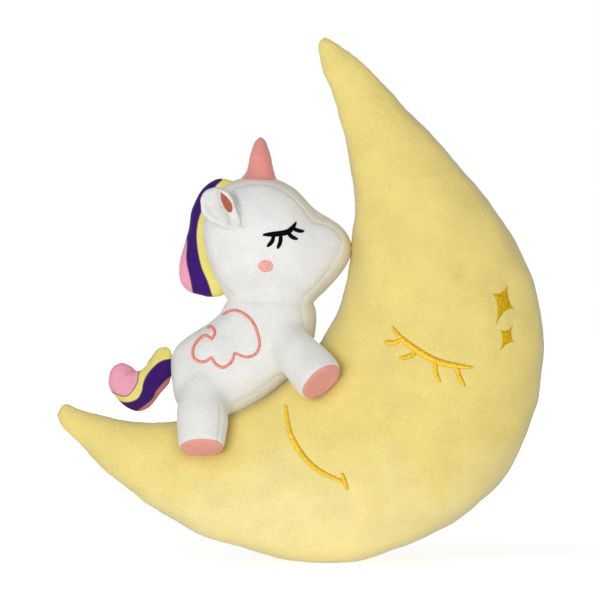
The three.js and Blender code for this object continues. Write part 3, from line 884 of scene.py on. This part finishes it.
TORSO_CLOTH = ["torso_near_panel", "torso_far_panel", "belly_gusset"]
TORSO_BOX = box_of(*TORSO_CLOTH)
HEAD_CLOTH = ["head_near_panel", "head_far_panel", "head_gusset"]
HEAD_BOX = box_of(*HEAD_CLOTH)

# Back and belly, from the rump to the neck.
TORSO_ROWS = [
    (0.00, 0.33, 0.00, 0.33, 0.00),
    (0.01, 0.52, 0.06, 0.11, 0.69),
    (0.07, 0.64, 0.28, -0.02, 0.93),
    (0.20, 0.74, 0.51, 0.08, 1.00),
    (0.31, 0.83, 0.71, 0.24, 1.00),
    (0.37, 0.94, 0.91, 0.45, 0.97),
    (0.39, 1.03, 0.98, 0.72, 0.93),
    (0.45, 1.12, 0.955, 0.97, 0.76),
    (0.71, 1.19, 0.71, 1.19, 0.00),
]

# Crown and jaw, from the back of the head to the nose.
HEAD_ROWS = [
    (0.00, 0.50, 0.00, 0.50, 0.00),
    (0.01, 0.72, 0.04, 0.36, 0.57),
    (0.09, 0.91, 0.10, 0.18, 0.82),
    (0.26, 1.02, 0.20, 0.05, 0.96),
    (0.46, 1.03, 0.41, 0.01, 1.02),
    (0.63, 0.94, 0.61, 0.01, 0.96),
    (0.77, 0.77, 0.76, 0.05, 0.80),
    (0.91, 0.67, 0.89, 0.18, 0.60),
    (0.99, 0.58, 0.98, 0.32, 0.40),
    (1.035, 0.46, 1.035, 0.46, 0.00),
]


LEG_SEAM = 44  # degrees that a hind leg's seam is turned outwards from its front

# Which way a far leg's sole faces, how far it is moved in X, and the leg's radii in millimetres
# from the hip to the sole.
LEG_FORMS = {
    "hind": ((0, 0.4, -0.92), -1.2, (17, 19.4, 19.6, 18.6, 17.6)),
    "front": ((0.562, 0.485, -0.67), 0.0, (15.5, 17.5, 18.6, 18.8, 18.2)),
}


class Leg:
    """Where one leg starts, ends and faces, and its round sections."""

    def __init__(self, side_name, place):
        self.side = SIDES[side_name]
        self.name = f"{side_name}_{place}"
        self.hip = joint_at(f"{self.name}_leg_splay")
        facing, shift, radii = LEG_FORMS[place]
        self.facing = unit(np.array(facing) * (1, self.side, 1))
        self.sole = middle_of(f"{self.name}_hoof_sole") + self.facing * 1.2 * MM
        self.sole[0] += shift * MM
        self.radii = np.array(radii) * MM
        self.axis = unit(self.sole - self.hip)

    def ring(self, centre, normal, radius):
        across = unit(np.cross(normal, (0, 1, 0)))
        return centre + radius * wheel(across, np.cross(normal, across), 36)

    def shape(self):
        rings = []
        knob = self.radii[0]
        for degrees in (15, 35, 55, 75):
            bearing = math.radians(degrees)
            centre = self.hip - self.axis * knob * math.cos(bearing)
            rings.append(self.ring(centre, self.axis, knob * math.sin(bearing)))
        steps = 10
        girth = spline(self.radii[:, None], np.linspace(0, 1, steps + 1))[:, 0]
        for i in range(steps):
            along = i / steps
            normal = unit(self.axis * (1 - along**2) + self.facing * along**2)
            centre = self.hip + (self.sole - self.hip) * along
            rings.append(self.ring(centre, normal, girth[i]))
        for back, inwards in ((1.6, 0.1), (0.7, 0.5), (0, 1.6)):
            centre = self.sole - self.facing * back * MM
            rings.append(self.ring(centre, self.facing, girth[-1] - inwards * MM))
        return closed(rings, [self.hip - self.axis * knob, self.sole])

    def along(self, corners):
        return (corners - self.hip) @ self.axis

    def seam(self, corners):
        """Distance from the seam down the outer front edge of the leg, and where that seam is."""
        forwards = unit(np.cross((0, -1, 0), self.axis))
        outwards = self.side * np.cross(forwards, self.axis)
        turn = math.radians(LEG_SEAM)
        rel = corners - self.hip
        off = rel @ (outwards * math.cos(turn) - forwards * math.sin(turn))
        there = rel @ (outwards * math.sin(turn) + forwards * math.cos(turn)) > 0
        there &= (self.along(corners) > 14 * MM) & (self.off_axis(corners) < 24 * MM)
        return off, there

    def off_axis(self, corners):
        rel = corners - self.hip
        return np.linalg.norm(rel - np.outer(rel @ self.axis, self.axis), axis=1)


LEGS = [Leg(side, place) for side in SIDES for place in ("hind", "front")]


# A place in the crease between head and body, and the way up from it.
NECK = joint_at("head_rock") + (0, 0, 1.8 * MM)
NECK_UP = np.array((0.04, 0, 0.9992))


def neck_height(corners):
    """How far corners lie above the crease between head and body."""
    return (corners - NECK) @ NECK_UP


# The head gusset's half width round the face, by its bearing in degrees: it narrows over the
# horn's foot, the bridge of the nose and the chin, and is widest at the brow.
HEAD_GUSSET = {
    -150: 0.84, -110: 0.72, -60: 0.90, -40: 1.06, -13: 1.10, 0: 0.98, 9: 0.78, 20: 0.74, 33: 1.08,
    47: 1.05, 61: 1.04, 78: 0.96, 96: 0.92, 150: 0.84,
}


def bearings(corners, box, centre):
    """Bearings of corners in degrees, seen from a place in a box."""
    x, z = on_sheet(box, [centre])[0]
    return np.degrees(np.arctan2(corners[:, 2] - z, corners[:, 0] - x))


def seam_distance(corners):
    """Distance from the edge of the gusset, negative inside it; the back has one middle seam."""
    across = np.abs(corners[:, 1])
    bearing = bearings(corners, TORSO_BOX, (0.42, 0.55))
    belly = smoothstep(-125, -105, bearing) * (1 - smoothstep(30, 62, bearing))
    on_body = across - GUSSET * belly
    bearing = bearings(corners, HEAD_BOX, (0.49, 0.47))
    on_head = across - GUSSET * np.interp(bearing, list(HEAD_GUSSET), list(HEAD_GUSSET.values()))
    return np.where(neck_height(corners) > 1 * MM, on_head, on_body)


# Where the head is drawn in along the front edge of the ear that is sewn to it.
EAR_TUCK = [(0.55, 0.92), (0.70, 0.71), (0.81, 0.46), (0.88, 0.22), (0.89, 0.06)]


def skin_shape():
    """Torso, head and legs as one smooth skin with its seams pulled in."""
    torso = pillow(TORSO_BOX, TORSO_ROWS)
    head = pillow(HEAD_BOX, HEAD_ROWS)
    shape = remeshed(together([torso, head] + [leg.shape() for leg in LEGS]), SKIN_VOXEL)
    shape = remeshed(shape.pushed(HOLLOW_FILL), SKIN_VOXEL).pushed(-HOLLOW_FILL)
    hips = np.zeros(len(shape.corners))
    for leg in LEGS:
        joins = bump(leg.along(shape.corners) - 2 * MM, 14 * MM)
        joins *= 1 - smoothstep(28 * MM, 40 * MM, leg.off_axis(shape.corners))
        hips = np.maximum(hips, joins)
    shape = relaxed(relaxed(shape, 5), 16, where=hips, back=-0.2)
    shape = subdivided(shape)
    corners = shape.corners
    distance = seam_distance(corners)
    fade = off_legs(corners)
    seam = groove(distance, *SKIN_SEAM) * fade
    distance = np.where(fade > 0.5, distance, NO_SEAM * MM)
    for leg in LEGS[::2]:
        off, there = leg.seam(corners)
        seam += groove(off, *SKIN_SEAM) * there
        distance = np.where(there, np.abs(off), distance)
    wing = [drawn(points, 3 * MM) for points, _, _ in WING]
    dimple = groove(from_lines(corners, wing), *ROUND_WING)
    swell = swells(corners, (0.5, 30, 11), (0.1, 2, 12))
    ear = drawn(on_sheet(box_of("near_ear"), EAR_TUCK), 3 * MM)
    tuck = groove(neck_height(corners), *NECK_TUCK) + groove(from_lines(corners, [ear]), *EAR_FRONT)
    shape = shape.pushed(seam + dimple + swell + tuck)
    shape.values["seam"] = distance / MM
    shape.values["sewn"] = painted_bounce_near_muzzle(shape.corners)
    return shape


def off_legs(corners):
    """One on the body, nothing on the lower legs, which have no gusset."""
    fade = np.ones(len(corners))
    for leg in LEGS:
        on_leg = smoothstep(6 * MM, 16 * MM, leg.along(corners))
        close = 1 - smoothstep(20 * MM, 26 * MM, leg.off_axis(corners))
        fade = np.minimum(fade, 1 - on_leg * close)
    return fade


WING = lines_on(
    "near_wing_stitching",
    [
        ([(0.45, 0.9), (0.58, 0.97), (0.69, 0.95), (0.86, 0.8), (0.97, 0.42), (0.92, 0.26),
          (0.79, 0.2), (0.61, 0.27)], 2.3, 0.2),
        ([(0.62, 0.28), (0.58, 0.13), (0.46, 0.03), (0.36, 0.08), (0.29, 0.2)], 2.3, 0.2),
        ([(0.31, 0.2), (0.18, 0.12), (0.06, 0.17), (0.03, 0.28), (0.08, 0.44), (0.21, 0.56),
          (0.31, 0.48)], 2.3, 0.2),
        ([(0.3, 0.48), (0.34, 0.61), (0.29, 0.7), (0.23, 0.68)], 2.3, 0.4),
    ],
)
EYELASH = lines_on(
    "near_eyelash_stitching",
    [
        ([(0, 0.52), (0.21, 0.54), (0.43, 0.57), (0.61, 0.64), (0.72, 0.79), (0.8, 0.98)], 4.3, 0.68),
        ([(0.27, 0.54), (0.22, 0.28), (0.1, 0.08)], 3.2, 0.6),
        ([(0.43, 0.57), (0.42, 0.26), (0.35, 0.01)], 3.2, 0.6),
        ([(0.58, 0.64), (0.70, 0.45), (0.84, 0.36)], 3.2, 0.6),
        ([(0.71, 0.78), (0.83, 0.69), (0.99, 0.65)], 3.2, 0.6),
    ],
)


def painted_bounce_near_muzzle(corners):
    """One where the muzzle is sewn to the moon, where yellow light thrown by the moon is painted on,
    nothing further away.
    """
    return close_to(corners, [middle_of("muzzle_tack")], 12 * MM)


def add_skin(shape):
    """The skin as pieces cut at the neck and the hips, and the soles of the hooves."""
    cloth = plush("white_plush", white_and_cream, nap=0.8, sheen=0.3, seam_shade=0.11, gleam=PURE_WHITE)
    sole_cloth = plush("pink_plush", SOLE_PINK, nap=1.2, sheen=0.3)
    normals = shape.normals()
    owner = np.zeros(len(shape.faces), int)
    middles = np.array([shape.corners[list(face)].mean(axis=0) for face in shape.faces])
    owner[neck_height(middles) > 0] = 1
    for i, leg in enumerate(LEGS):
        on_leg = (leg.along(middles) > -4 * MM) & (leg.off_axis(middles) < 22.5 * MM)
        owner[on_leg & (owner == 0)] = 2 + i

    def piece(name, number, nodes, body=None):
        return show(name, shape, cloth, nodes, body, faces=owner == number, normals=normals)

    piece("torso_skin", 0, TORSO_CLOTH, TORSO)
    head = piece("head_skin", 1, HEAD_CLOTH + ["head_filling"])
    bend(head)
    for i, leg in enumerate(LEGS):
        body = f"{leg.name}_leg"
        limb = piece(body, 2 + i, [f"{body}_skin", f"{body}_filling"])
        bend(limb)
        nodes = [f"{leg.name}_hoof_sole"]
        show(f"{leg.name}_sole", sole_shape(leg), sole_cloth, nodes, body)


def sole_shape(leg):
    """A flat pad, a little domed, set in the end of a leg."""
    rings = []
    radius = leg.radii[-1] - 1.2 * MM
    for share, lift in ((1.0, -1.5), (1.0, 0.1), (0.95, 0.9), (0.85, 1.4), (0.6, 1.9), (0.3, 2.1)):
        rings.append(leg.ring(leg.sole + leg.facing * lift * MM, leg.facing, radius * share))
    shape = subdivided(closed(rings, [leg.sole + leg.facing * lift * MM for lift in (-1.5, 2.2)]))
    return shape.pushed(swells(shape.corners, (0.12, 2.5, 21)))


def add_lining():
    """White stuffing inside the torso, which keeps the folds at the hips and neck closed."""
    inner = pillow(TORSO_BOX, TORSO_ROWS).pushed(-LINING_DEPTH)
    material = plush("lining", WHITE, nap=0.3, sheen=0.1)
    show("torso_stuffing", inner, material, ["torso_filling"], TORSO)


def add_face_and_wings(skin):
    tree = skin.tree()
    wing = thread("wing_thread", WING_PINK)
    lash = thread("lash_thread", LASH_BLACK, 0.7, shine=0.05)
    cheek = thread("cheek_thread", CHEEK_PINK, 0.5)
    circle = 0.5 + 0.5 * wheel((1, 0), (0, 1), 28)
    for name, side in SIDES.items():
        spot = on_sheet(box_of(f"{name}_cheek_stitching"), circle)
        pieces = [
            ("wing", satin_lines(tree, WING, side), wing, TORSO),
            ("eyelash", satin_lines(tree, EYELASH, side), lash, "head"),
            ("cheek", patch(tree, spot, side), cheek, "head"),
        ]
        for what, stitches, material, body in pieces:
            show(f"{name}_{what}_thread", stitches, material, [f"{name}_{what}_stitching"], body)


# ---- Mane and tail ----

MANE_CLOTH = ["mane_near_panel", "mane_far_panel"]
TAIL_CLOTH = ["tail_near_panel", "tail_far_panel"]

# Outer edge and inner edge, from the crown down to the neck.
MANE_ROWS = [
    (1.04, 0.97, 1.04, 0.97, 0.00),
    (0.64, 0.985, 0.89, 0.86, 0.63),
    (0.37, 0.88, 0.69, 0.77, 0.94),
    (0.22, 0.73, 0.58, 0.63, 1.05),
    (0.16, 0.56, 0.53, 0.48, 1.05),
    (0.06, 0.39, 0.60, 0.35, 1.05),
    (0.00, 0.24, 0.71, 0.21, 1.05),
    (0.04, 0.11, 0.80, 0.10, 0.94),
    (0.24, 0.03, 0.78, 0.02, 0.73),
    (0.56, 0.00, 0.56, 0.00, 0.00),
]

# Upper edge and lower edge, from the rump to the free end.
TAIL_ROWS = [
    (1.00, 0.71, 1.00, 0.71, 0.00),
    (0.94, 0.99, 0.94, 0.41, 0.63),
    (0.77, 0.98, 0.80, 0.26, 0.87),
    (0.62, 0.79, 0.64, 0.04, 1.02),
    (0.47, 0.67, 0.46, -0.02, 1.00),
    (0.24, 0.76, 0.25, 0.08, 1.00),
    (0.06, 0.64, 0.08, 0.27, 0.68),
    (0.00, 0.44, 0.00, 0.44, 0.00),
]

# Borders between the printed stripes.
MANE_BORDERS = {
    "purple": [(0.90, 1.2), (0.30, 1.02), (0.05, 0.80), (0.10, 0.61), (0.15, 0.46), (0.14, 0.31),
               (0.21, 0.14), (0.30, -0.1)],
    "yellow": [(0.76, 1.1), (0.74, 0.98), (0.64, 0.93), (0.37, 0.69), (0.31, 0.55), (0.32, 0.41),
               (0.39, 0.25), (0.50, 0.12), (0.64, -0.1)],
}
TAIL_BORDERS = {
    "yellow": [(0.51, 0.80), (0.51, 0.66), (0.48, 0.58), (0.46, 0.44), (0.37, 0.29), (0.30, 0.23),
               (0.21, 0.23), (0.05, 0.30)],
    "purple": [(1.1, 0.82), (0.95, 0.80), (0.83, 0.77), (0.71, 0.68), (0.59, 0.52), (0.55, 0.41),
               (0.53, 0.30), (0.46, 0.18), (0.33, 0.13), (0.24, 0.13), (0.10, 0.20)],
    "salmon": [(1.1, 0.56), (0.97, 0.54), (0.82, 0.40), (0.74, 0.30), (0.68, 0.18), (0.59, 0.10),
               (0.45, 0.0)],
}

# The crease under the tail's upturned end.
TAIL_TUCK = [(0.56, 0.74), (0.46, 0.66), (0.31, 0.61)]


def crest(panels, rows, borders, tuck=None):
    """A thin stuffed form of printed cloth, with how far each corner lies past each border."""
    box = box_of(*panels)
    shape = subdivided(pillow(box, rows, along=44, around=32))
    corners = shape.corners
    seam = groove(corners[:, 1], *CREST_SEAM)
    swell = swells(corners, (0.5, 16, 31), (0.1, 2, 32))
    if tuck:
        swell += groove(from_lines(corners, [on_sheet(box, tuck)]), *TAIL_CREASE)
    shape = shape.pushed(seam + swell)
    flat = shape.corners[:, [0, 2]]
    for name, points in borders.items():
        line = drawn(on_sheet(box, points), 2 * MM)
        shape.values[name] = from_line(flat, line, signed=True) / MM
    shape.values["seam"] = shape.corners[:, 1] / MM
    return shape


def add_mane_and_tail():
    cloth = plush("mane_print", striped(MANE_BORDERS, [MANE_PINK, PURPLE, PALE_YELLOW]), seam_shade=0.15)
    shape = crest(MANE_CLOTH, MANE_ROWS, MANE_BORDERS)
    show("mane", shape, cloth, MANE_CLOTH + ["mane_filling"], "head")
    colours = [MANE_PINK, PALE_YELLOW, PURPLE, TAIL_SALMON]
    cloth = plush("tail_print", striped(TAIL_BORDERS, colours), seam_shade=0.15)
    shape = crest(TAIL_CLOTH, TAIL_ROWS, TAIL_BORDERS, TAIL_TUCK)
    tail = show("tail", shape, cloth, TAIL_CLOTH + ["tail_filling"])
    bend(tail)


# ---- Horn, ears and the threads that hold the unicorn ----


# The horn's side, from its foot to its tip, as shares of its radius and its height.
HORN_PROFILE = [
    (0.0, -0.04), (0.9, -0.02), (1.08, 0.10), (1.16, 0.22), (1.04, 0.29), (0.90, 0.40), (0.79, 0.52),
    (0.68, 0.66), (0.54, 0.80), (0.36, 0.94), (0.0, 1.02),
]
HORN_FLARE = 6.5 * MM  # how far its foot spreads backwards
HORN_SHIFT = 1.8 * MM  # forwards from the middle of the CAD horn


def horn_shape():
    """A cone with a rounded tip, whose foot spreads out towards the back of the head."""
    low, high = box_of("horn_skin")
    foot = (low + high) / 2 + (HORN_SHIFT, 0, 0)
    foot[2] = low[2]
    radius = (high[0] - low[0]) / 2
    height = np.array((0, 0, high[2] - low[2]))
    circle = wheel((1, 0, 0), (0, 1, 0), 40)
    backwards = np.maximum(-circle[:, 0], 0)
    rings = []
    for out, up in spline(HORN_PROFILE, np.linspace(0, 1, 40)[1:-1]):
        ring = circle * max(out, 0) * radius
        ring[:, 0] -= HORN_FLARE * (1 - smoothstep(0.02, 0.45, up)) * backwards
        rings.append(foot + ring + up * height)
    ends = [foot + up * height for _, up in (HORN_PROFILE[0], HORN_PROFILE[-1])]
    shape = subdivided(closed(rings, ends))
    return shape.pushed(swells(shape.corners, (0.35, 12, 41), (0.1, 2, 42)))


def add_horn():
    cloth = plush("horn_plush", PINK, nap=1.5, edge=HORN_EDGE)
    horn = show("horn", horn_shape(), cloth, ["horn_skin", "horn_filling"])
    bend(horn)


# The near ear's edge, from its top round its free edge to its foot.
EAR_EDGE = [
    (0.23, 0.99), (0.02, 0.92), (-0.12, 0.72), (-0.13, 0.50), (-0.10, 0.33), (0.08, 0.14), (0.40, -0.02),
    (0.62, -0.10), (0.78, -0.08), (0.86, 0.08), (0.80, 0.30), (0.72, 0.51), (0.62, 0.77), (0.48, 0.93),
]
EAR_LINING = [
    (0.35, 0.88), (0.52, 0.74), (0.66, 0.50), (0.61, 0.34), (0.50, 0.38), (0.42, 0.52), (0.36, 0.68),
]
EAR_OPENING = [(0.38, 0.84), (0.52, 0.60), (0.60, 0.38), (0.64, 0.20)]
EAR_CREASES = [[(0.60, 0.36), (0.62, 0.18), (0.58, 0.05)], [(0.05, 0.55), (0.14, 0.36), (0.28, 0.24)]]
EAR_STANDS = 10 * MM  # from the inner side of the CAD ear to the middle of the leaf, at its foot
EAR_SLOPE = 0.28  # how much it stands out for each millimetre away from its foot

# The ear's rings as shares of its edge's size, with how many millimetres each lies forwards.
EAR_RINGS = [
    (0.10, 2.4), (0.30, 2.8), (0.50, 3.4), (0.68, 4.0), (0.84, 4.2), (0.95, 3.0), (1.0, 1.2),
    (0.97, -1.4), (0.88, -2.2), (0.6, -2.6), (0.3, -2.6),
]


def loop_through(points, count):
    """A smooth closed line through points."""
    return spline([*points, points[0]], np.linspace(0, 1, count + 1)[:-1])


def ear_shape():
    """A puffy leaf that stands out from the head, rolled forwards round its free edge."""
    box = box_of("near_ear")
    low, high = box
    edge = loop_through(on_sheet(box, EAR_EDGE), 56)
    middle = on_sheet(box, [(0.42, 0.50)])[0]
    root = high[0] - 2 * MM

    def placed(flat, forwards):
        y = high[1] - EAR_STANDS - EAR_SLOPE * (root - flat[:, 0]) - forwards
        return np.stack([flat[:, 0], y, flat[:, 1]], axis=1)

    rings = []
    for share, lift in EAR_RINGS:
        flat = middle + (edge - middle) * share
        hollow = smoothstep(-0.2, 0.6, (flat[:, 0] - middle[0]) / (high[0] - low[0]))
        rings.append(placed(flat, lift * MM * (1 - 0.5 * hollow * (lift > 0))))
    ends = [placed(middle[None, :], lift * MM)[0] for lift in (0.6, -2.6)]
    shape = subdivided(closed(rings, ends))
    front = shape.normals()[:, 1] < 0
    creases = [on_sheet(box, line) for line in EAR_CREASES]
    sunk = groove(from_lines(shape.corners, creases), *EAR_CREASE)
    sunk += groove(from_lines(shape.corners, [on_sheet(box, EAR_OPENING)]), *EAR_HOLLOW)
    return shape.pushed(sunk * front)


def add_ears():
    cloth = plush("ear_plush", WHITE, nap=0.5, sheen=0.3, gleam=PURE_WHITE)
    lining = plush("ear_lining", EAR_PINK, nap=1.0, sheen=0.2)
    near = ear_shape()
    near = near.pushed(swells(near.corners, (0.3, 9, 51), (0.12, 2, 52)))
    outline = loop_through(on_sheet(box_of("near_ear"), EAR_LINING), 28)
    for name, side in SIDES.items():
        shape = near if side == NEAR else near.mirrored()
        body = f"{name}_ear"
        show(f"{name}_ear_leaf", shape, cloth, [body], body)
        spot = patch(shape.tree(), outline, side, height=0.5 * MM)
        show(f"{name}_ear_spot", spot, lining, [f"{name}_ear_lining"], body)


TACK_RADIUS = 5.5 * MM
TACK_STRANDS = 44
STRAND_RADIUS = 0.45 * MM


def strands(start, end):
    """A loose bundle of threads between two places."""
    random = np.random.default_rng(61)
    shapes = []
    way = unit(end - start)
    across = unit(np.cross(way, (0, 0, 1)))
    over = np.cross(way, across)
    for _ in range(TACK_STRANDS):
        bearing = random.uniform(0, 2 * math.pi)
        out = TACK_RADIUS * random.uniform(0.2, 1)
        offset = (across * math.cos(bearing) + over * math.sin(bearing)) * out
        slant = across * random.uniform(-1, 1) * MM
        rings = []
        for share in np.linspace(0, 1, 9):
            centre = start + (end - start) * share + offset + slant * (share - 0.5)
            rings.append(centre + wheel(across, over, 8) * STRAND_RADIUS)
        shapes.append(closed(rings, [start + offset - slant / 2, end + offset + slant / 2]))
    whole = together(shapes)
    whole.values["run"] = whole.corners @ way / MM
    return whole


def add_tacks():
    tan = thread("tack_thread", TACK_TAN, 0.6)
    for node, way in (("muzzle_tack", (1, 0, 0)), ("belly_tack", (-0.55, 0, 0.83))):
        low, high = box_of(node)
        half = np.array(way) * ((high - low) @ np.abs(way)) / 2
        bundle = strands(middle_of(node) - 1.4 * half, middle_of(node) + half)
        show(node + "_threads", bundle, tan, [node], TORSO)


# ---- Stage, light and camera ----


def add_stage():
    """A wide floor of pale paper."""
    half = 30.0
    corners = [(-half, -half, 0), (half, -half, 0), (half, half, 0), (-half, half, 0)]
    mesh = Shape(corners, [(0, 1, 2, 3)]).mesh("paper")
    mesh.materials.append(stage_material())
    linked("paper", mesh)


def add_light(name, place, target, size, power):
    light = bpy.data.lights.new(name, "AREA")
    light.shape = "SQUARE"
    light.size = size
    light.energy = power
    obj = linked(name, light)
    obj.location = place
    obj.rotation_euler = (Vector(target) - Vector(place)).to_track_quat("-Z", "Y").to_euler()


CAMERA_DISTANCE = 5.0
CAMERA_VIEW = 1.141  # height of the view as a share of the toy's


def add_camera():
    """A long lens at the height of the middle of the toy, square on to its near side."""
    low, high = CAD_BOX
    middle = (np.array(low) + np.array(high)) / 2
    seen = CAMERA_VIEW * (high[2] - low[2])
    camera = bpy.data.cameras.new("camera")
    camera.lens = camera.sensor_width * CAMERA_DISTANCE / seen
    obj = linked("camera", camera)
    obj.location = (middle[0] - 0.5 * MM, -CAMERA_DISTANCE, middle[2])
    obj.rotation_euler = (math.radians(90), 0, 0)
    bpy.context.scene.camera = obj


SKY = 0.40  # how bright the studio's walls are to the toy; the camera sees them white


def add_surroundings():
    scene = bpy.context.scene
    world = bpy.data.worlds.new("world")
    world.use_nodes = True
    light_path = world.node_tree.nodes.new("ShaderNodeLightPath")
    strength = world.node_tree.nodes.new("ShaderNodeMapRange")
    strength.inputs["To Min"].default_value = SKY
    strength.inputs["To Max"].default_value = 1.0
    background = world.node_tree.nodes["Background"]
    background.inputs[0].default_value = (1, 1, 1, 1)
    world.node_tree.links.new(light_path.outputs["Is Camera Ray"], strength.inputs["Value"])
    world.node_tree.links.new(strength.outputs[0], background.inputs[1])
    scene.world = world
    scene.view_settings.view_transform = "Standard"
    middle = (0, 0, 0.2)
    add_light("key", (-0.9, -2.4, 0.5), middle, 1.1, 27)
    add_light("fill", (1.3, -2.2, 0.1), middle, 1.6, 10)
    add_stage()
    add_camera()


skin = skin_shape()
add_moon(skin)
add_skin(skin)
add_lining()
add_face_and_wings(skin)
add_mane_and_tail()
add_horn()
add_ears()
add_tacks()
add_surroundings()
